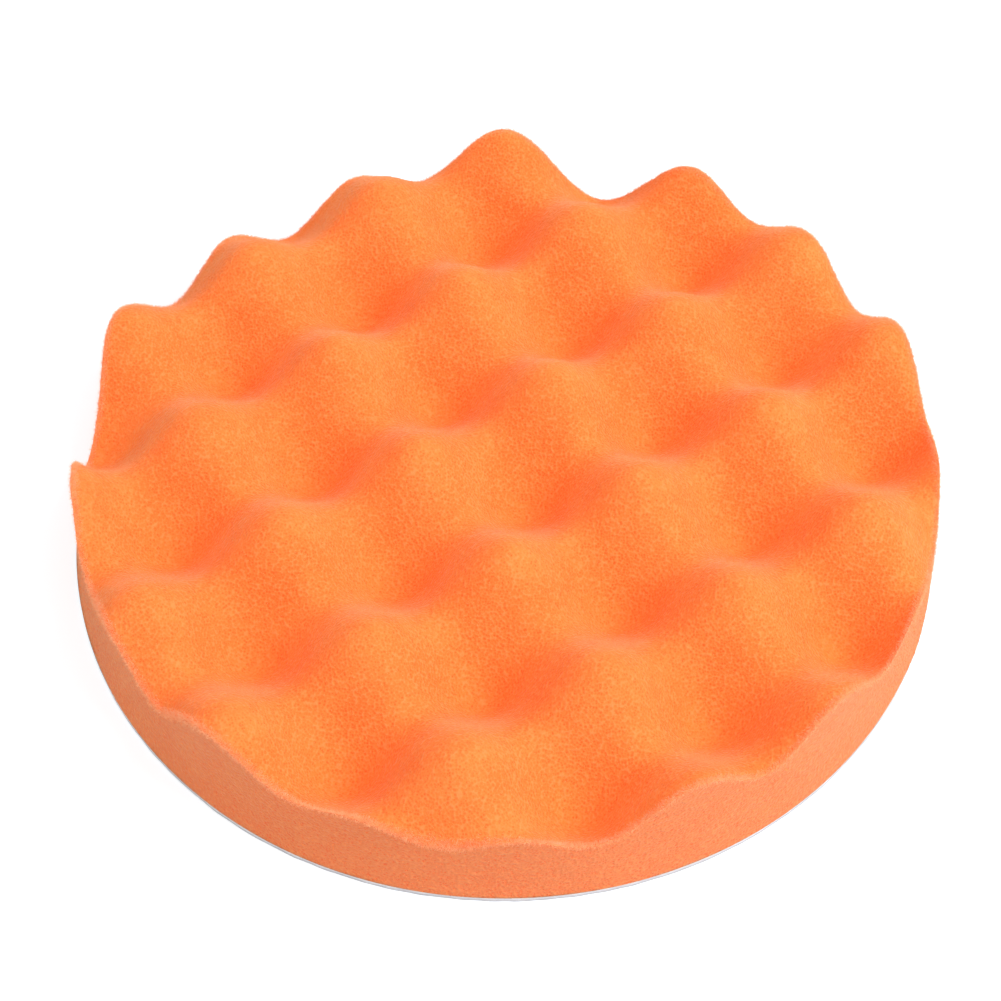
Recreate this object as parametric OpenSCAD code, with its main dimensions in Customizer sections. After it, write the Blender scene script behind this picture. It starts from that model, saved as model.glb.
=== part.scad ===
// Waffle-faced foam polishing pad with a hook-and-loop backing.
// The pad lies with its loop pile on the ground plane: the origin is the centre
// of the pile's underside, and +Z points up through the waffle face.

/* [Pad] */
// Diameter of the foam and of the backing, which are cut out together
pad_d = 180; // [150:1:230]
// How far the side wall leans in by crest height
wall_lean = 2.4; // [0:0.1:5]
// How much further the wall draws in at half that height, as a die-cut edge does
wall_waist = 1; // [0:0.1:2]

/* [Waffle face] */
// Foam left under the bottom of a pit
pit_h = 8.2; // [5:0.1:12]
// Foam under the saddle between two neighbouring pits
saddle_h = 18.5; // [14:0.1:22]
// Foam under the top of a crest
crest_h = 27.4; // [24:0.1:36]
// Distance between the pits of one row
row_pitch = 32.8; // [26:0.1:44]
// Distance between the pits of one column
column_pitch = 32.3; // [26:0.1:44]
// Turn of the rows from +X, in degrees
row_turn = 35.2; // [0:0.1:89]
// Lean of the columns from square to the rows, in degrees
column_skew = 1.4; // [-5:0.1:5]
// Place along X of the pit nearest the centre
pit_x = 4.7; // [-16:0.1:16]
// Place along Y of the pit nearest the centre
pit_y = -5.4; // [-16:0.1:16]

/* [Backing] */
// Height of the loop pile that grips the machine's hook plate
pile_h = 0.6; // [0.4:0.1:3]
// Thickness of the knitted cloth that carries the pile
cloth_t = 0.4; // [0.3:0.1:2]
// Thickness of the adhesive film that joins the cloth to the foam
film_t = 0.15; // [0.1:0.05:0.6]

/* [Facets] */
// Sectors round the foam
sectors = 120; // [96:4:160]
// Rings from the centre of the waffle face out to its rim
rings = 28; // [20:1:34]
// Rows of facets up the side wall
wall_rows = 3; // [2:1:5]

/* [Hidden] */

pad_r = pad_d / 2;
cloth_z = pile_h;
film_z = cloth_z + cloth_t;
foam_z = film_z + film_t;

// Least radius at which the rim is looked for, and the halvings that close in on it
rim_search_r = 0.7 * pad_r;
rim_halvings = 24;

// Facets round the true cylinders of the backing
$fn = 180;

// Count of pitches from the first pit to a point, along the rows and the columns
function row_count(x, y) =
    let (turn = row_turn - column_skew)
    ((x - pit_x) * cos(turn) + (y - pit_y) * sin(turn)) / (row_pitch * cos(column_skew));
function column_count(x, y) =
    ((y - pit_y) * cos(row_turn) - (x - pit_x) * sin(row_turn)) / (column_pitch * cos(column_skew));

// Share of pit depth in one wave: 1 in line with the pits, 0 half a pitch away
function wave(count) = (1 + cos(360 * count)) / 2;

// Height of the foam: pit where both waves are 1, crest where both are 0, else between
function face_h(x, y) =
    let (u = wave(row_count(x, y)), v = wave(column_count(x, y)))
    pit_h * u * v + crest_h * (1 - u) * (1 - v) + saddle_h * (u * (1 - v) + v * (1 - u));

// Radius of the side wall at a height above the foot of the foam
function wall_r(h) =
    let (rise = h / crest_h)
    pad_r - wall_lean * rise - wall_waist * 4 * rise * (1 - rise);

// Radius of the rim in one direction: the face and the wall meet between low and high
function rim_r(angle, low, high, halvings) =
    let (
        r = (low + high) / 2,
        on_face = r < wall_r(face_h(r * cos(angle), r * sin(angle)))
    )
    halvings == 0 ? r
    : on_face ? rim_r(angle, r, high, halvings - 1)
    : rim_r(angle, low, r, halvings - 1);

function face_point(angle, r) =
    let (x = r * cos(angle), y = r * sin(angle))
    [x, y, face_h(x, y)];
function wall_point(angle, h) =
    [wall_r(h) * cos(angle), wall_r(h) * sin(angle), h];

module waffle_foam() {
    angles = [for (s = [0:sectors - 1]) 360 * s / sectors];
    rims = [for (a = angles) rim_r(a, rim_search_r, pad_r, rim_halvings)];
    rim_h = [for (s = [0:sectors - 1]) face_point(angles[s], rims[s])[2]];

    // Rings of points: out across the face, then down the wall to the foot
    points = concat(
        [face_point(0, 0), [0, 0, 0]],
        [for (ring = [1:rings]) for (s = [0:sectors - 1])
            face_point(angles[s], rims[s] * ring / rings)],
        [for (row = [1:wall_rows]) for (s = [0:sectors - 1])
            wall_point(angles[s], rim_h[s] * (1 - row / wall_rows))]
    );
    face_centre = 0;
    foot_centre = 1;
    loops = rings + wall_rows;
    function at(ring, s) = 2 + (ring - 1) * sectors + s % sectors;

    faces = concat(
        [for (s = [0:sectors - 1]) [face_centre, at(1, s + 1), at(1, s)]],
        [for (ring = [1:loops - 1]) for (s = [0:sectors - 1])
            [at(ring, s), at(ring, s + 1), at(ring + 1, s + 1)]],
        [for (ring = [1:loops - 1]) for (s = [0:sectors - 1])
            [at(ring, s), at(ring + 1, s + 1), at(ring + 1, s)]],
        [for (s = [0:sectors - 1]) [foot_centre, at(loops, s), at(loops, s + 1)]]
    );
    color("darkorange")
        translate([0, 0, foam_z])
            polyhedron(points, faces, convexity = 6);
}

// One flat layer of the backing
module layer(z, thickness) {
    translate([0, 0, z])
        cylinder(r = pad_r, h = thickness);
}

module bond_film() {
    color("wheat")
        layer(film_z, film_t);
}

module backing_cloth() {
    color("gainsboro")
        layer(cloth_z, cloth_t);
}

module loop_pile() {
    color("whitesmoke")
        layer(0, pile_h);
}

waffle_foam();
bond_film();
backing_cloth();
loop_pile();
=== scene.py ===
"""The looks of a waffle-faced foam polishing pad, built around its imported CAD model.

The pad is a laminate. From the top down: an open-cell foam disc with a waffle face, a thin
adhesive film, a knitted backing cloth, and the loop pile that grips the machine's hook plate.
Every length is in metres, in the CAD model's own frame, with +Z up through the waffle face.
"""

import math

import bpy
import numpy as np
from mathutils import Matrix, Vector


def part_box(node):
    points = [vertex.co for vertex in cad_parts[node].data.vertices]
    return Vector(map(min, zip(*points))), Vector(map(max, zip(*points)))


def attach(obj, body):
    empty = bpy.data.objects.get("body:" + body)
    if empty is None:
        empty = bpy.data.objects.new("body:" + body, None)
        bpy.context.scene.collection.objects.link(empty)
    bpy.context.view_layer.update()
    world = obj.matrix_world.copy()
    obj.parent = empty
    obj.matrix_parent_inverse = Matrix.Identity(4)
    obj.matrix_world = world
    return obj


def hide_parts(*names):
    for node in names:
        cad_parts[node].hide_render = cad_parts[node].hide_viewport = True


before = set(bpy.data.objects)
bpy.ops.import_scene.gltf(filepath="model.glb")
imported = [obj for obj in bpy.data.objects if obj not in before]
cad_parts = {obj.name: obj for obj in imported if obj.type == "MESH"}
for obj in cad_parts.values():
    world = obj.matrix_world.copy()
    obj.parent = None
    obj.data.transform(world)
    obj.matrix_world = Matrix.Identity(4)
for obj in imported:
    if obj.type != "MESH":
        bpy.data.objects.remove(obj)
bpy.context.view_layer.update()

MM = 0.001
SEED = 7

# ---------------------------------------------------------------- sizes

pile_low, pile_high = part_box("loop_pile")

PAD_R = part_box("backing_cloth")[1].x
FOAM_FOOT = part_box("waffle_foam")[0].z

# The waffle: foam left under a pit, a saddle and a crest, and the spacing of the pits
PIT_H = 8.2 * MM
SADDLE_H = 18.5 * MM
CREST_H = 27.4 * MM
ROW_PITCH = 32.8 * MM
COLUMN_PITCH = 32.3 * MM
ROW_TURN = math.radians(35.2)
COLUMN_SKEW = math.radians(1.4)
FIRST_PIT = (4.7 * MM, -5.4 * MM)

# The cut wall: its lean at crest height, its waist, and how much the waist differs from side to side
WALL_LEAN = 0.7 * MM
WALL_WAIST = 1.0 * MM
WAIST_UNEVEN = 0.65 * MM

# How far from the corner of face and wall the rim's rounding starts
RIM_SOFTNESS = 0.35 * MM

# The lip that the cutter left proud on the -X side: its direction, how fast it drops on its
# two sides, how far in it reaches, its lift, and the hollow of the wall beside it
LIP_ANGLE = math.radians(181.0)
LIP_DROP = math.radians(2.4)
LIP_RUN = math.radians(4.0)
LIP_DEPTH = 7 * MM
LIP_LIFT = 3.2 * MM
HOLLOW_ANGLE = math.radians(187)
HOLLOW_SPREAD = math.radians(6)
HOLLOW_DEPTH = 1.6 * MM

# Foam colours: warmer and lighter in soft patches. The pit colour is painted light: lighter in the pits,
# for light that comes through the foam from the sides. The cut colour is painted sheen, paler and bluer,
# and painted shade, lower in red, on the cut wall. The rim colour is a painted highlight along the rim,
# and the fray colour a paler painted glow on its frayed ends
FOAM_WARM = (0.975, 0.186, 0.034)
FOAM_LIGHT = (0.980, 0.228, 0.048)
FOAM_PIT_PAINTED_LIGHT = (0.985, 0.232, 0.046)
FOAM_CUT_SHEEN_SHADE = (0.780, 0.242, 0.110)
FOAM_PORE = (0.900, 0.078, 0.012)
FOAM_STRUT = (0.985, 0.350, 0.120)
FOAM_RIM_HIGHLIGHT = (0.985, 0.390, 0.165)
FOAM_FRAY_GLOW = (0.990, 0.540, 0.310)

# The foam skin's own relief, as depth and feature size: two sizes of swell, open cells, fuzz
SWELL = (0.22 * MM, 11 * MM)
SMALL_SWELL = (0.05 * MM, 3.2 * MM)
CELLS = (0.09 * MM, 0.95 * MM)
FUZZ = (0.07 * MM, 0.45 * MM)

# The mean of the cell noise, taken off so that the cells leave the skin's mean height alone
CELL_MEAN = 0.55

# Broken cell ends: their number in a piece, how far they stand out, their radius at the root,
# how they scatter, and how deep they are sunk
FACE_ENDS = {
    "count": 48000,
    "reach": (0.10 * MM, 0.42 * MM),
    "thick": (0.04 * MM, 0.08 * MM),
    "spread": 0.8,
}
RIM_ENDS = {
    "count": 34000,
    "reach": (0.25 * MM, 0.95 * MM),
    "thick": (0.025 * MM, 0.045 * MM),
    "spread": 0.6,
}
END_SUNK = 0.05 * MM

# How far from the rim its colour pales with a painted highlight, and its frayed ends stand
RIM_FUZZ = 0.85 * MM

# How far the cut edges of the backing's layers wave in and out, and a wave's length in pad radii
FILM_WAVE = 0.1 * MM
CLOTH_WAVE = 0.08 * MM
WAVE_SIZE = 0.03

# The knit's stitches: the spacing of its ribs across, and of the stitches along a rib
WALE = 1.1 * MM
COURSE = 0.9 * MM

# The matted pile: the size of its tufts, and how far from its cut edge it reaches full thickness
TUFT = 0.9 * MM
NAP_EDGE = 1.5 * MM

# The loops of the pile: their spacing, their unevenness, their yarn's radius, and how far in they start
LOOP_PITCH = 1.5 * MM
LOOP_SCATTER = 0.16 * MM
YARN_R = 0.08 * MM
LOOP_INSET = 1.2 * MM

# The stage: the floor's colour and own light, the light from all round, and the two softboxes
FLOOR_HALF = 3.0
FLOOR_COLOUR = (0.52, 0.55, 0.57, 1)
FLOOR_GLOW = 0.57
WORLD_LIGHT = 0.86
KEY_LIGHT = {"place": (1.0, -0.25, 1.15), "size": 0.8, "watts": 17}
FILL_LIGHT = {"place": (0.1, -1.0, 0.9), "size": 1.0, "watts": 3.4}

# The camera: its height angle, its distance in pad radii, its roll, its lens, and its aim in pad radii
CAMERA_ELEVATION = math.radians(52.97)
CAMERA_DISTANCE = 5.985
CAMERA_ROLL = math.radians(-0.26)
CAMERA_LENS = 91.6
CAMERA_AIM = (-0.0081, 0.0588)


# ---------------------------------------------------------------- noise

def lattice_hash(ix, iy, iz, seed):
    """A number from 0 to 1 for each whole-number lattice point, by mixing its bits."""
    h = (ix * 374761393 + iy * 668265263 + iz * 2147483647 + seed * 974634777) & 0xFFFFFFFF
    h = ((h ^ (h >> 13)) * 1274126177) & 0xFFFFFFFF
    h = ((h ^ (h >> 16)) * 2246822519) & 0xFFFFFFFF
    return ((h ^ (h >> 15)) & 0xFFFFFF) / float(0x1000000)


def soft_noise(points, size, seed):
    """Smooth noise from -1 to 1 with features of one size: lattice values, blended by smoothsteps."""
    p = points / size
    cell = np.floor(p).astype(np.int64)
    f = p - cell
    w = f * f * (3 - 2 * f)
    total = np.zeros(len(p))
    for dx in (0, 1):
        for dy in (0, 1):
            for dz in (0, 1):
                value = lattice_hash(cell[:, 0] + dx, cell[:, 1] + dy, cell[:, 2] + dz, seed)
                wx = w[:, 0] if dx else 1 - w[:, 0]
                wy = w[:, 1] if dy else 1 - w[:, 1]
                wz = w[:, 2] if dz else 1 - w[:, 2]
                total += value * wx * wy * wz
    return total * 2 - 1


def cell_noise(points, size, seed):
    """Distance to the nearest of one random point per cell, in cell sizes: low in a pore's middle."""
    p = points / size
    cell = np.floor(p).astype(np.int64)
    best = np.full(len(p), 9.0)
    for dx in (-1, 0, 1):
        for dy in (-1, 0, 1):
            for dz in (-1, 0, 1):
                c = cell + np.array((dx, dy, dz))
                spot = [c[:, k] + lattice_hash(c[:, 0], c[:, 1], c[:, 2], seed + k) for k in range(3)]
                gap = sum((p[:, k] - spot[k]) ** 2 for k in range(3))
                best = np.minimum(best, gap)
    return np.sqrt(best)


# ---------------------------------------------------------------- mesh helpers

def new_piece(name, points, faces, material, smooth=True):
    """A mesh object at the origin from an array of points and a list of face arrays."""
    mesh = bpy.data.meshes.new(name)
    loops = np.concatenate([f.ravel() for f in faces]).astype(np.int32)
    sizes = np.concatenate([np.full(len(f), f.shape[1]) for f in faces])
    starts = np.concatenate([[0], np.cumsum(sizes)[:-1]]).astype(np.int32)
    mesh.vertices.add(len(points))
    mesh.vertices.foreach_set("co", points.astype(np.float32).ravel())
    mesh.loops.add(len(loops))
    mesh.loops.foreach_set("vertex_index", loops)
    mesh.polygons.add(len(sizes))
    mesh.polygons.foreach_set("loop_start", starts)
    mesh.polygons.foreach_set("use_smooth", np.full(len(sizes), smooth))
    mesh.update(calc_edges=True)
    mesh.validate()
    mesh.materials.append(material)
    piece = bpy.data.objects.new(name, mesh)
    bpy.context.scene.collection.objects.link(piece)
    return piece


def give_map(piece, corners):
    """The piece's own texture map: one (u, v) for each face corner, in the order of the faces."""
    layer = piece.data.uv_layers.new(name="OFBake")
    places = np.concatenate([c.reshape(-1, 2) for c in corners])
    layer.data.foreach_set("uv", places.astype(np.float32).ravel())


def flat_map(points, centre, size):
    """Corners seen from above: the pad's diameter becomes size, round the map's centre point."""
    return np.array(centre) + size * points[..., :2] / (2 * PAD_R)


def strip_map(count, rows, low, high, strips=1):
    """Corners of rows of quads round the pad, unrolled into strips between two map heights,
    with a thin margin round each strip."""
    k, j = np.meshgrid(np.arange(rows), np.arange(count), indexing="ij")
    per_strip = count / strips
    strip = np.floor(j / per_strip)
    left = (j - strip * per_strip) / per_strip
    right = (j + 1 - strip * per_strip) / per_strip
    tall = (high - low) / strips
    top = low + tall * (strip + 0.97 * (1 - k / rows))
    under = low + tall * (strip + 0.97 * (1 - (k + 1) / rows))
    corners = [(left, top), (left, under), (right, under), (right, top)]
    return np.stack([np.stack([0.01 + 0.98 * u, v], axis=-1) for u, v in corners], axis=2)


def tile_map(count, corner_places):
    """Corners of count small shapes that all have the same layout, each in a tile of its own
    with a margin of a tenth."""
    side = math.ceil(math.sqrt(count))
    tile = np.stack([np.arange(count) % side, np.arange(count) // side], axis=-1)
    shape = (count,) + (1,) * (corner_places.ndim - 1) + (2,)
    return (tile.reshape(shape) + 0.1 + 0.8 * corner_places[None]) / side


def give_attribute(piece, name, values):
    """A number on each point that the materials can read by name."""
    attribute = piece.data.attributes.new(name, "FLOAT", "POINT")
    attribute.data.foreach_set("value", values.astype(np.float32))


def disc_grid(cells):
    """A square grid of cells pressed into a unit disc, each square ring becoming a circle.

    Returns the radius and the angle of every point, the quads, and the outer loop's point
    numbers, counter-clockwise from above.
    """
    line = np.linspace(-1, 1, cells + 1)
    a, b = [g.ravel() for g in np.meshgrid(line, line, indexing="xy")]
    radius = np.maximum(abs(a), abs(b))
    wide = abs(a) >= abs(b)
    safe_a = np.where(a == 0, 1, a)
    safe_b = np.where(b == 0, 1, b)
    angle = np.where(
        wide,
        math.pi / 4 * b / safe_a + np.where(a < 0, math.pi, 0),
        math.pi / 2 - math.pi / 4 * a / safe_b + np.where(b < 0, math.pi, 0),
    )
    angle = np.where(radius == 0, 0, angle)
    n = cells + 1
    number = np.arange(n * n).reshape(n, n)
    quads = np.stack(
        [number[:-1, :-1], number[:-1, 1:], number[1:, 1:], number[1:, :-1]], axis=-1
    ).reshape(-1, 4)
    edge = np.concatenate(
        [number[0, :-1], number[:-1, -1], number[-1, :0:-1], number[:0:-1, 0]]
    )
    return radius, angle, quads, edge


def band(upper, lower):
    """Quads between two closed loops of as many points, facing out when both run counter-clockwise."""
    return np.stack([upper, lower, np.roll(lower, -1), np.roll(upper, -1)], axis=-1)


def point_normals(points, faces):
    """Unit normals at the points: the sum of the cross products of the faces' diagonals."""
    total = np.zeros_like(points)
    for f in faces:
        if f.shape[1] == 4:
            n = np.cross(points[f[:, 2]] - points[f[:, 0]], points[f[:, 3]] - points[f[:, 1]])
        else:
            n = np.cross(points[f[:, 1]] - points[f[:, 0]], points[f[:, 2]] - points[f[:, 0]])
        for k in range(f.shape[1]):
            for axis in range(3):
                total[:, axis] += np.bincount(f[:, k], n[:, axis], len(points))
    return total / np.maximum(np.linalg.norm(total, axis=1, keepdims=True), 1e-20)


# ---------------------------------------------------------------- material helpers

class Finish:
    """A new material with its Principled shader, and short ways to add and link nodes."""

    def __init__(self, name):
        self.material = bpy.data.materials.new(name)
        self.material.use_nodes = True
        self.nodes = self.material.node_tree.nodes
        self.links = self.material.node_tree.links
        self.shader = self.nodes["Principled BSDF"]
        self.place = self.add("ShaderNodeTexCoord").outputs["Object"]

    def add(self, kind, **settings):
        node = self.nodes.new(kind)
        for key, value in settings.items():
            setattr(node, key, value)
        return node

    def link(self, source, target):
        self.links.new(source, target)

    def set(self, **values):
        for key, value in values.items():
            self.shader.inputs[key.replace("_", " ")].default_value = value

    def noise(self, size, detail=2.0, roughness=0.5):
        """Noise with features of one size in metres, as a value from 0 to 1."""
        node = self.add("ShaderNodeTexNoise")
        node.inputs["Scale"].default_value = 1 / size
        node.inputs["Detail"].default_value = detail
        node.inputs["Roughness"].default_value = roughness
        self.link(self.place, node.inputs["Vector"])
        return node.outputs["Fac"]

    def cells(self, size, feature="F1"):
        """Distance from the middles of random cells of one size in metres."""
        node = self.add("ShaderNodeTexVoronoi", feature=feature)
        node.inputs["Scale"].default_value = 1 / size
        self.link(self.place, node.inputs["Vector"])
        return node.outputs["Distance"]

    def ramp(self, source, low, high, to_low=0.0, to_high=1.0):
        """source from low to high carried to to_low to to_high, and held beyond."""
        node = self.add("ShaderNodeMapRange")
        for key, value in zip(("From Min", "From Max", "To Min", "To Max"), (low, high, to_low, to_high)):
            node.inputs[key].default_value = value
        self.link(source, node.inputs["Value"])
        return node.outputs["Result"]

    def maths(self, operation, a, b):
        node = self.add("ShaderNodeMath", operation=operation)
        for socket, value in zip(node.inputs, (a, b)):
            if isinstance(value, (int, float)):
                socket.default_value = value
            else:
                self.link(value, socket)
        return node.outputs["Value"]

    def mix(self, share, a, b):
        """Colour a at share 0, colour b at share 1."""
        node = self.add("ShaderNodeMix", data_type="RGBA")
        sockets = (node.inputs["Factor"], node.inputs[6], node.inputs[7])
        for socket, value in zip(sockets, (share, a, b)):
            if isinstance(value, (int, float)):
                socket.default_value = value
            elif isinstance(value, tuple):
                socket.default_value = (*value, 1.0)
            else:
                self.link(value, socket)
        return node.outputs[2]

    def attribute(self, name):
        return self.add("ShaderNodeAttribute", attribute_name=name).outputs["Fac"]

    def bump(self, height, depth, strength=1.0, after=None):
        """Surface relief: height 1 stands depth metres above height 0."""
        node = self.add("ShaderNodeBump")
        node.inputs["Strength"].default_value = strength
        node.inputs["Distance"].default_value = depth
        self.link(height, node.inputs["Height"])
        if after is not None:
            self.link(after, node.inputs["Normal"])
        return node.outputs["Normal"]


# ---------------------------------------------------------------- materials

def foam_finish():
    """Dyed open-cell polyurethane foam: dark open pores between paler cell walls."""
    f = Finish("orange_open_cell_foam")
    mottle = f.noise(9 * MM, 3.0)
    pores = f.cells(0.58 * MM)
    open_share = f.noise(1.1 * MM, 2.0)
    pit_painted_light = f.attribute("pit_painted_light_share")
    cut = f.attribute("cut_share")
    rim = f.attribute("rim_highlight_share")
    base = f.mix(f.ramp(mottle, 0.3, 0.7), FOAM_WARM, FOAM_LIGHT)
    # painted light: lighter in the pits, for light through the foam from the sides
    base = f.mix(pit_painted_light, base, FOAM_PIT_PAINTED_LIGHT)
    # painted sheen and painted shade on the cut wall: paler and bluer, and lower in red
    base = f.mix(f.maths("MULTIPLY", cut, 0.6), base, FOAM_CUT_SHEEN_SHADE)
    middle = f.ramp(pores, 0.12, 0.42, 1.0, 0.0)
    hole = f.maths("MULTIPLY", middle, f.ramp(open_share, 0.38, 0.60, 0.15, 1.0))
    base = f.mix(f.maths("MULTIPLY", hole, f.ramp(cut, 0.0, 1.0, 0.6, 0.75)), base, FOAM_PORE)
    base = f.mix(f.ramp(pores, 0.55, 0.85, 0.0, 0.38), base, FOAM_STRUT)
    # painted highlight: paler along the rim
    base = f.mix(f.maths("MULTIPLY", rim, 0.25), base, FOAM_RIM_HIGHLIGHT)
    f.link(base, f.shader.inputs["Base Color"])
    f.link(f.ramp(pores, 0.1, 0.6, 0.98, 0.85), f.shader.inputs["Roughness"])
    f.link(f.bump(pores, 0.2 * MM, 1.0), f.shader.inputs["Normal"])
    f.set(
        Specular_IOR_Level=0.2,
        Subsurface_Weight=0.4,
        Subsurface_Radius=(1.2 * MM, 0.9 * MM, 0.7 * MM),
        Subsurface_Scale=1.0,
        Sheen_Weight=0.27,
        Sheen_Roughness=0.32,
        Sheen_Tint=(1.0, 0.84, 0.62, 1.0),
    )
    return f.material


def strut_finish(name, dark, pale):
    """The broken ends of the cell walls that stand out of the foam's surface, thin and pale."""
    f = Finish(name)
    tone = f.noise(1.3 * MM, 2.0)
    f.link(f.mix(f.ramp(tone, 0.3, 0.7), dark, pale), f.shader.inputs["Base Color"])
    f.link(f.ramp(tone, 0.3, 0.7, 0.8, 0.95), f.shader.inputs["Roughness"])
    f.link(f.bump(f.noise(0.1 * MM, 1.0), 0.02 * MM, 0.5), f.shader.inputs["Normal"])
    f.set(
        Specular_IOR_Level=0.2,
        Sheen_Weight=0.3,
        Sheen_Roughness=0.4,
        Sheen_Tint=(1.0, 0.84, 0.62, 1.0),
    )
    return f.material


def film_finish():
    """Hot-melt adhesive film: milky, with a satin squeeze-out at its edge."""
    f = Finish("adhesive_film")
    cloud = f.noise(3 * MM, 3.0)
    base = f.mix(f.ramp(cloud, 0.3, 0.7), (0.80, 0.74, 0.68), (0.90, 0.86, 0.82))
    f.link(base, f.shader.inputs["Base Color"])
    f.link(f.ramp(cloud, 0.3, 0.7, 0.35, 0.6), f.shader.inputs["Roughness"])
    f.link(f.bump(f.noise(0.8 * MM, 2.0), 0.05 * MM, 0.5), f.shader.inputs["Normal"])
    f.set(
        Specular_IOR_Level=0.4,
        Subsurface_Weight=0.3,
        Subsurface_Radius=(0.6 * MM, 0.6 * MM, 0.5 * MM),
    )
    return f.material


def knit_finish():
    """Warp-knitted polyester ground cloth: fine ribs of stitches, soft and slightly cool white."""
    f = Finish("backing_knit")
    yarn = f.noise(0.35 * MM, 3.0, 0.6)
    cloud = f.noise(9 * MM, 2.0)
    base = f.mix(f.ramp(cloud, 0.35, 0.65), (0.74, 0.725, 0.75), (0.84, 0.825, 0.85))
    base = f.mix(f.ramp(yarn, 0.5, 0.8, 0.0, 0.4), base, (0.50, 0.49, 0.54))
    f.link(base, f.shader.inputs["Base Color"])
    f.link(f.ramp(yarn, 0.3, 0.7, 0.8, 0.95), f.shader.inputs["Roughness"])
    f.link(f.bump(yarn, 0.08 * MM, 0.8), f.shader.inputs["Normal"])
    f.set(Specular_IOR_Level=0.25, Sheen_Weight=0.3, Sheen_Roughness=0.5)
    return f.material


def pile_finish():
    """Brushed polyester filament loops, faintly glossy and slightly uneven in tone."""
    f = Finish("loop_pile_yarn")
    tone = f.noise(2.2 * MM, 2.0)
    patch = f.noise(16 * MM, 2.0)
    base = f.mix(f.ramp(tone, 0.3, 0.7), (0.56, 0.535, 0.57), (0.70, 0.68, 0.71))
    base = f.mix(f.ramp(patch, 0.45, 0.7, 0.0, 0.25), base, (0.52, 0.50, 0.54))
    f.link(base, f.shader.inputs["Base Color"])
    f.link(f.ramp(tone, 0.3, 0.7, 0.45, 0.7), f.shader.inputs["Roughness"])
    f.link(f.bump(f.noise(0.2 * MM, 2.0), 0.03 * MM, 0.6), f.shader.inputs["Normal"])
    f.set(Specular_IOR_Level=0.4, Sheen_Weight=0.2, Sheen_Roughness=0.4)
    return f.material


# ---------------------------------------------------------------- foam

def face_height(x, y):
    """Height of the waffle face above the foam's foot.

    Two cosine waves run along the pit rows and columns. The height is the pit's where both
    are at 1, the crest's where both are at 0, the saddle's where only one is, and blends between.
    The lip's lift is added, fading from the rim inwards as a bell curve of the distance.
    """
    dx, dy = x - FIRST_PIT[0], y - FIRST_PIT[1]
    turn = ROW_TURN - COLUMN_SKEW
    row = (dx * math.cos(turn) + dy * math.sin(turn)) / (ROW_PITCH * math.cos(COLUMN_SKEW))
    column = (dy * math.cos(ROW_TURN) - dx * math.sin(ROW_TURN)) / (COLUMN_PITCH * math.cos(COLUMN_SKEW))
    u = (1 + np.cos(2 * math.pi * row)) / 2
    v = (1 + np.cos(2 * math.pi * column)) / 2
    waffle = PIT_H * u * v + CREST_H * (1 - u) * (1 - v) + SADDLE_H * (u * (1 - v) + v * (1 - u))
    inward = (PAD_R - np.hypot(x, y)) / LIP_DEPTH
    return waffle + LIP_LIFT * lip_share(np.arctan2(y, x)) * np.exp(-(inward**2))


def lip_share(angle):
    """1 in the lip's direction, dropping as the exponential of a cube: steeply on the +Y side,
    and more slowly on the -Y side."""
    away = np.mod(angle - LIP_ANGLE + math.pi, 2 * math.pi) - math.pi
    return np.exp(-(abs(away / np.where(away < 0, LIP_DROP, LIP_RUN)) ** 3))


def wall_radius(h, angle):
    """Radius of the side wall: a straight lean, more of it in the hollow beside the lip, which
    is a flat-topped bell curve of the direction, plus a parabolic waist, deepest on the -X side."""
    rise = h / CREST_H
    waist = WALL_WAIST - WAIST_UNEVEN * np.cos(angle)
    away = (np.mod(angle, 2 * math.pi) - HOLLOW_ANGLE) / HOLLOW_SPREAD
    lean = WALL_LEAN + HOLLOW_DEPTH * np.exp(-(away**4))
    return PAD_R - lean * rise - waist * 4 * rise * (1 - rise)


def rim_radius(angle):
    """Where the face meets the wall in each direction, by halving the stretch that holds the rim."""
    low, high = np.full(len(angle), 0.7 * PAD_R), np.full(len(angle), PAD_R)
    for _ in range(30):
        r = (low + high) / 2
        inside = r < wall_radius(face_height(r * np.cos(angle), r * np.sin(angle)), angle)
        low, high = np.where(inside, r, low), np.where(inside, high, r)
    return (low + high) / 2


def on_wall(angle, h):
    """Points of the wall at a height above the foot."""
    r = wall_radius(h, angle)
    return np.stack([r * np.cos(angle), r * np.sin(angle), h], axis=-1)


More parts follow.
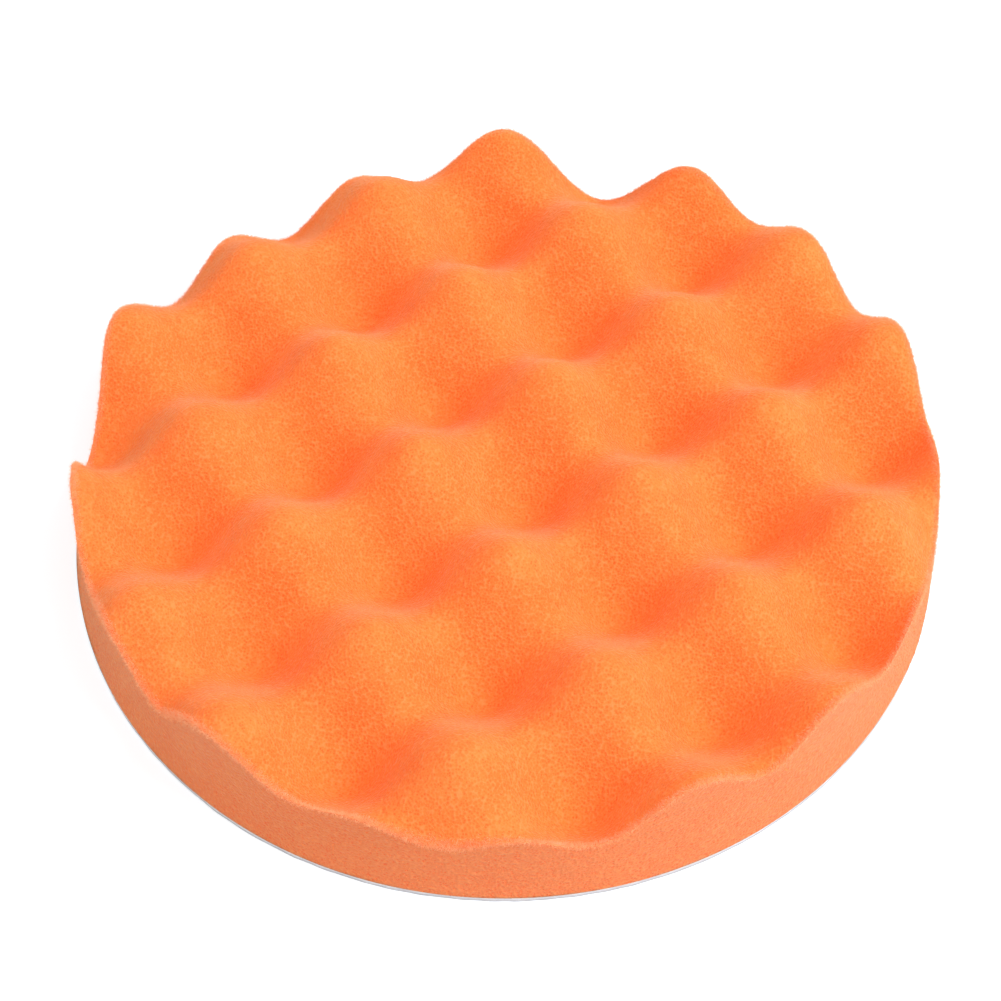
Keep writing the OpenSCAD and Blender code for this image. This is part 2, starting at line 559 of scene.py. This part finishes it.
def make_foam(material):
    """The foam disc: a disc grid lifted to the waffle face, a rim softened by a quadratic
    curve, a cut wall in rows, and a flat foot. Noise along the normals opens its cells."""
    cells, wall_rows, rim_rows, foot_rings = 480, 56, 2, 2
    radius, angle, quads, edge = disc_grid(cells)
    rim = rim_radius(angle)
    r = radius * (rim - RIM_SOFTNESS)
    x, y = r * np.cos(angle), r * np.sin(angle)
    face = np.stack([x, y, face_height(x, y)], axis=-1)

    edge_angle, edge_rim = angle[edge], rim[edge]
    rim_h = face_height(edge_rim * np.cos(edge_angle), edge_rim * np.sin(edge_angle))
    corner = np.stack([edge_rim * np.cos(edge_angle), edge_rim * np.sin(edge_angle), rim_h], axis=-1)
    wall_top = on_wall(edge_angle, rim_h - RIM_SOFTNESS)

    rows = []
    for k in range(1, rim_rows + 1):
        s = k / (rim_rows + 1)
        rows.append(face[edge] * (1 - s) ** 2 + corner * 2 * s * (1 - s) + wall_top * s**2)
    for k in range(wall_rows + 1):
        rows.append(on_wall(edge_angle, (rim_h - RIM_SOFTNESS) * (1 - k / wall_rows)))
    foot = rows[-1]
    for k in range(1, foot_rings + 1):
        rows.append(foot * (1 - k / (foot_rings + 1)))
    rows.append(np.zeros((1, 3)))

    points = np.concatenate([face, *rows])
    count = len(edge)
    loops = [edge] + [len(face) + k * count + np.arange(count) for k in range(len(rows) - 1)]
    bands = [band(a, b) for a, b in zip(loops, loops[1:])]
    last = loops[-1]
    fan = np.stack([last, np.full(count, len(points) - 1), np.roll(last, -1)], axis=-1)
    faces = [quads, *bands, fan]

    normal = point_normals(points, faces)
    side_rows = rim_rows + wall_rows
    wall_step = SADDLE_H / wall_rows
    loose = np.ones(len(points))
    loose[len(face) + side_rows * count:] = 0
    swell = SWELL[0] * soft_noise(points, SWELL[1], SEED)
    swell = swell + SMALL_SWELL[0] * soft_noise(points, SMALL_SWELL[1], SEED + 1)
    pores = CELLS[0] * (cell_noise(points, CELLS[1], SEED + 2) - CELL_MEAN)
    fuzz = FUZZ[0] * soft_noise(points, FUZZ[1], SEED + 3)
    points = points + normal * ((swell + pores + fuzz) * loose)[:, None]
    points[:, 2] += FOAM_FOOT

    piece = new_piece("waffle_foam_skin", points, faces, material)
    give_map(piece, [
        flat_map(points[quads], (0.5, 0.605), 0.78),
        strip_map(count, side_rows, 0.0, 0.2, strips=2),
        flat_map(points[np.concatenate(bands[side_rows:])], (0.06, 0.3), 0.1),
        flat_map(points[fan], (0.06, 0.3), 0.1),
    ])
    # the cut wall's share, which carries its painted sheen and shade and its more open pores
    cut = np.zeros(len(points))
    cut[len(face):] = 1
    give_attribute(piece, "cut_share", cut)
    on_face = (1 - radius) * (rim - RIM_SOFTNESS)
    down_wall = np.repeat(wall_step * np.arange(side_rows), count)
    on_foot = np.full(len(points) - len(face) - side_rows * count, PAD_R)
    from_rim = np.concatenate([on_face, down_wall, on_foot])
    near_rim = np.exp(-((from_rim / RIM_FUZZ) ** 2))
    # the rim's share of the painted highlight that pales the colour along the rim
    give_attribute(piece, "rim_highlight_share", near_rim)
    # the pits' share of the painted light that makes the colour lighter deep in the pits
    h = points[:, 2] - FOAM_FOOT
    pit = np.clip((SADDLE_H - h) / (SADDLE_H - PIT_H), 0, 1)
    pit[len(face):] = 0
    give_attribute(piece, "pit_painted_light_share", pit * pit)
    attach(piece, "root")
    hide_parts("waffle_foam")
    return points, np.concatenate([quads, *bands[:side_rows]]), near_rim


def make_cell_ends(name, skin, kind, material, seed, at_rim=False):
    """Broken ends of cell walls: thin three-sided spikes that stand out of the skin.

    Each grows from a random spot of a random quad, drawn by area, or by area and nearness
    to the rim, along that quad's normal turned at random, from a base sunk under the skin
    to one tip.
    """
    points, quads, near_rim = skin
    count = kind["count"]
    rng = np.random.default_rng(seed)
    across = np.cross(points[quads[:, 2]] - points[quads[:, 0]], points[quads[:, 3]] - points[quads[:, 1]])
    area = np.linalg.norm(across, axis=1)
    chance = area * near_rim[quads[:, 0]] ** 2 if at_rim else area
    pick = rng.choice(len(quads), count, p=chance / chance.sum())
    s, t = rng.uniform(0, 1, (2, count, 1))
    a, b, c, d = [points[quads[pick, k]] for k in range(4)]
    root = a * (1 - s) * (1 - t) + b * s * (1 - t) + c * s * t + d * (1 - s) * t
    out = across[pick] / area[pick, None]
    way = out + rng.normal(0, kind["spread"], (count, 3))
    way /= np.linalg.norm(way, axis=1, keepdims=True)
    side = np.cross(way, rng.normal(0, 1, (count, 3)))
    side /= np.linalg.norm(side, axis=1, keepdims=True)
    other = np.cross(way, side)
    reach = rng.uniform(*kind["reach"], (count, 1))
    thick = rng.uniform(*kind["thick"], (count, 1))
    turns = 2 * math.pi * np.arange(3) / 3
    foot = root - END_SUNK * out
    base = [foot + thick * (math.cos(w) * side + math.sin(w) * other) for w in turns]
    tips = root + reach * way
    spikes = np.stack([*base, tips], axis=1).reshape(-1, 3)
    corner = np.arange(len(spikes)).reshape(count, 4)
    layout = np.array([(0, 1, 3), (1, 2, 3), (2, 0, 3), (2, 1, 0)])
    piece = new_piece(name, spikes, [corner[:, layout].reshape(-1, 3)], material, smooth=False)
    places = np.array([(0, 0), (1, 0), (0.5, 1), (0.5, 0.35)])
    give_map(piece, [tile_map(count, places[layout])])
    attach(piece, "root")


# ---------------------------------------------------------------- backing

def make_backing(name, node, material, cells, wave, relief):
    """A thin round layer: two disc grids back to back, with relief on the under side.

    Its radius waves by soft noise of the direction.
    """
    low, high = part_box(node)
    radius, angle, quads, edge = disc_grid(cells)
    direction = np.stack([np.cos(angle), np.sin(angle), 0 * angle], axis=-1)
    edge_wave = 1 + wave / PAD_R * soft_noise(direction, WAVE_SIZE, SEED + 5)
    x, y = radius * PAD_R * np.cos(angle) * edge_wave, radius * PAD_R * np.sin(angle) * edge_wave
    top = np.stack([x, y, np.full(len(x), high.z)], axis=-1)
    under = np.stack([x, y, low.z + relief(x, y)], axis=-1)
    points = np.concatenate([top, under])
    faces = [quads, quads[:, ::-1] + len(top), band(edge, edge + len(top))]
    piece = new_piece(name, points, faces, material)
    give_map(piece, [
        flat_map(points[faces[0]], (0.86, 0.86), 0.26),
        flat_map(points[faces[1]], (0.37, 0.62), 0.72),
        strip_map(len(edge), 1, 0.02, 0.2, strips=3),
    ])
    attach(piece, "root")
    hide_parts(node)
    return piece


def no_relief(x, y):
    """A flat under side."""
    return 0 * x


def knit_relief(x, y):
    """Ribs of the warp knit: a cosine wave across the wales, and a finer one along each wale."""
    wale = 0.5 + 0.5 * np.cos(2 * math.pi * x / WALE)
    course = 0.5 + 0.5 * np.cos(2 * math.pi * y / COURSE)
    return 0.06 * MM * (1 - wale) + 0.04 * MM * course * wale


def nap_relief(x, y):
    """Underside of the matted pile: it hangs lowest along the cut edge, with tufts all over."""
    place = np.stack([x, y, 0 * x], axis=-1)
    tufts = soft_noise(place, TUFT, SEED + 8)
    from_edge = np.clip((PAD_R - np.hypot(x, y)) / NAP_EDGE, 0, 1)
    return (0.03 + 0.20 * from_edge) * MM + 0.07 * MM * (1 + tufts) * (0.3 + 0.7 * from_edge)


def make_loops(name, rows, material):
    """Loops of pile yarn: each is an arch of seven short spans with a three-sided section.

    A loop's centreline hangs as a sine between its two feet, and leans and turns by its own
    random draw; the yarn's section is carried along it.
    """
    rng = np.random.default_rng(SEED + 20 + rows)
    count = int(2 * PAD_R / LOOP_PITCH) + 2
    column, row = np.meshgrid(np.arange(count), np.arange(rows, count, 3))
    column, row = column.ravel(), row.ravel()
    x = (column - count / 2 + 0.5 * (row % 2)) * LOOP_PITCH + rng.normal(0, LOOP_SCATTER, len(row))
    y = (row - count / 2) * LOOP_PITCH + rng.normal(0, LOOP_SCATTER, len(row))
    keep = np.hypot(x, y) < PAD_R - LOOP_INSET
    x, y = x[keep], y[keep]
    n = len(x)
    turn = rng.uniform(0, 2 * math.pi, n)
    width = rng.uniform(0.8, 1.5, n) * MM
    depth = (pile_high.z - pile_low.z) * rng.uniform(0.6, 1.0, n) - YARN_R
    lean = rng.normal(0, 0.35, n) * MM

    s = np.linspace(0, 1, 8)
    across = (s - 0.5)[None, :] * width[:, None]
    down = np.sin(math.pi * s)[None, :] ** 0.7 * depth[:, None]
    side = np.sin(math.pi * s)[None, :] * lean[:, None]
    c, sn = np.cos(turn)[:, None], np.sin(turn)[:, None]
    line_x = x[:, None] + across * c - side * sn
    line_y = y[:, None] + across * sn + side * c
    line = np.stack([line_x, line_y, pile_high.z - down + 0 * across], axis=-1)
    along = np.gradient(line, axis=1)
    along /= np.linalg.norm(along, axis=-1, keepdims=True)
    flat = np.stack([-sn, c, 0 * c], axis=-1) * np.ones((1, len(s), 1))
    upright = np.cross(along, flat)
    upright /= np.linalg.norm(upright, axis=-1, keepdims=True)
    corners = 2 * math.pi * np.arange(3) / 3
    ring = (
        line[:, :, None, :]
        + YARN_R * np.cos(corners)[None, None, :, None] * flat[:, :, None, :]
        + YARN_R * np.sin(corners)[None, None, :, None] * upright[:, :, None, :]
    )
    points = ring.reshape(-1, 3)
    index = np.arange(len(points)).reshape(n, len(s), 3)
    a, b = index[:, :-1, :], index[:, 1:, :]
    quads = np.stack([a, np.roll(a, -1, axis=2), np.roll(b, -1, axis=2), b], axis=-1).reshape(-1, 4)
    caps = np.concatenate([index[:, 0, ::-1], index[:, -1, :]])
    piece = new_piece(name, points, [quads, caps], material)
    spans = np.arange(len(s) - 1)[:, None] / len(s)
    round_it = np.arange(3)[None, :] / 3
    next_span, next_side = spans + 1 / len(s), round_it + 1 / 3
    places = [(spans, round_it), (spans, next_side), (next_span, next_side), (next_span, round_it)]
    layout = np.stack([np.stack(np.broadcast_arrays(*place), axis=-1) for place in places], axis=2)
    cap_layout = np.array([(0.9, 0.1), (1.0, 0.1), (0.95, 0.2)])
    caps_map = tile_map(n, cap_layout)
    give_map(piece, [tile_map(n, layout), np.concatenate([caps_map, caps_map])])
    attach(piece, "root")
    return piece


# ---------------------------------------------------------------- stage

def make_floor():
    """A plain white floor. To the camera alone it adds some light of its own, so that only
    the pad's shadow shows on it."""
    mesh = bpy.data.meshes.new("studio_floor")
    corners = [(x * FLOOR_HALF, y * FLOOR_HALF, 0) for x, y in ((-1, -1), (1, -1), (1, 1), (-1, 1))]
    mesh.from_pydata(corners, [], [(0, 1, 2, 3)])
    floor = bpy.data.objects.new("studio_floor", mesh)
    bpy.context.scene.collection.objects.link(floor)
    material = bpy.data.materials.new("studio_floor_white")
    material.use_nodes = True
    nodes, links = material.node_tree.nodes, material.node_tree.links
    shader, out = nodes["Principled BSDF"], nodes["Material Output"]
    shader.inputs["Base Color"].default_value = FLOOR_COLOUR
    shader.inputs["Roughness"].default_value = 0.9
    shader.inputs["Specular IOR Level"].default_value = 0.0
    glow, add = nodes.new("ShaderNodeEmission"), nodes.new("ShaderNodeAddShader")
    path, strength = nodes.new("ShaderNodeLightPath"), nodes.new("ShaderNodeMath")
    strength.operation = "MULTIPLY"
    strength.inputs[1].default_value = FLOOR_GLOW
    links.new(path.outputs["Is Camera Ray"], strength.inputs[0])
    links.new(strength.outputs[0], glow.inputs["Strength"])
    links.new(shader.outputs[0], add.inputs[0])
    links.new(glow.outputs[0], add.inputs[1])
    links.new(add.outputs[0], out.inputs["Surface"])
    mesh.materials.append(material)


def make_light(name, place, size, watts):
    """A square white softbox that faces the pad's middle."""
    data = bpy.data.lights.new(name, "AREA")
    data.shape = "SQUARE"
    data.size = size
    data.energy = watts
    light = bpy.data.objects.new(name, data)
    bpy.context.scene.collection.objects.link(light)
    light.location = place
    light.rotation_euler = (-Vector(place)).to_track_quat("-Z", "Y").to_euler()


def make_world(strength):
    """Even white light from all round, and plain white where the camera sees past the floor."""
    world = bpy.data.worlds.new("studio_world")
    bpy.context.scene.world = world
    world.use_nodes = True
    nodes, links = world.node_tree.nodes, world.node_tree.links
    background = nodes["Background"]
    background.inputs["Color"].default_value = (1, 1, 1, 1)
    path, level = nodes.new("ShaderNodeLightPath"), nodes.new("ShaderNodeMapRange")
    level.inputs["To Min"].default_value = strength
    level.inputs["To Max"].default_value = 1.0
    links.new(path.outputs["Is Camera Ray"], level.inputs["Value"])
    links.new(level.outputs[0], background.inputs["Strength"])


def make_camera():
    """The camera looks down at the pad from the -Y side, a little over half a metre away."""
    target = Vector((CAMERA_AIM[0] * PAD_R, CAMERA_AIM[1] * PAD_R, FOAM_FOOT))
    data = bpy.data.cameras.new("camera")
    data.sensor_width = 36.0
    data.lens = CAMERA_LENS
    camera = bpy.data.objects.new("camera", data)
    bpy.context.scene.collection.objects.link(camera)
    back = Vector((0, -math.cos(CAMERA_ELEVATION), math.sin(CAMERA_ELEVATION)))
    camera.location = Vector((0, 0, FOAM_FOOT)) + back * CAMERA_DISTANCE * PAD_R
    look = (target - camera.location).to_track_quat("-Z", "Y").to_matrix()
    camera.rotation_euler = (look @ Matrix.Rotation(CAMERA_ROLL, 3, "Z")).to_euler()
    bpy.context.scene.camera = camera


# ---------------------------------------------------------------- build

make_camera()
make_floor()
make_world(WORLD_LIGHT)
make_light("key_softbox", **KEY_LIGHT)
make_light("fill_softbox", **FILL_LIGHT)

skin = make_foam(foam_finish())
face_ends = strut_finish("foam_cell_ends", FOAM_LIGHT, FOAM_STRUT)
for k in range(2):
    make_cell_ends(f"foam_cell_ends_{k + 1}", skin, FACE_ENDS, face_ends, SEED + 40 + k)
# painted light on the frayed rim: from the rim's painted highlight to a paler painted glow at the ends
rim_ends_glow = strut_finish("foam_frayed_rim_glow", FOAM_RIM_HIGHLIGHT, FOAM_FRAY_GLOW)
make_cell_ends("foam_frayed_rim_glow", skin, RIM_ENDS, rim_ends_glow, SEED + 50, at_rim=True)
make_backing("bond_film_sheet", "bond_film", film_finish(), 80, FILM_WAVE, no_relief)
cloth = make_backing(
    "backing_knit_sheet", "backing_cloth", knit_finish(), 200, CLOTH_WAVE, knit_relief
)
yarn = pile_finish()
nap = make_backing("loop_pile_nap", "loop_pile", yarn, 160, CLOTH_WAVE, nap_relief)
loops = [make_loops(f"loop_pile_course_{k + 1}", k, yarn) for k in range(3)]

bpy.context.scene.view_settings.view_transform = "Standard"
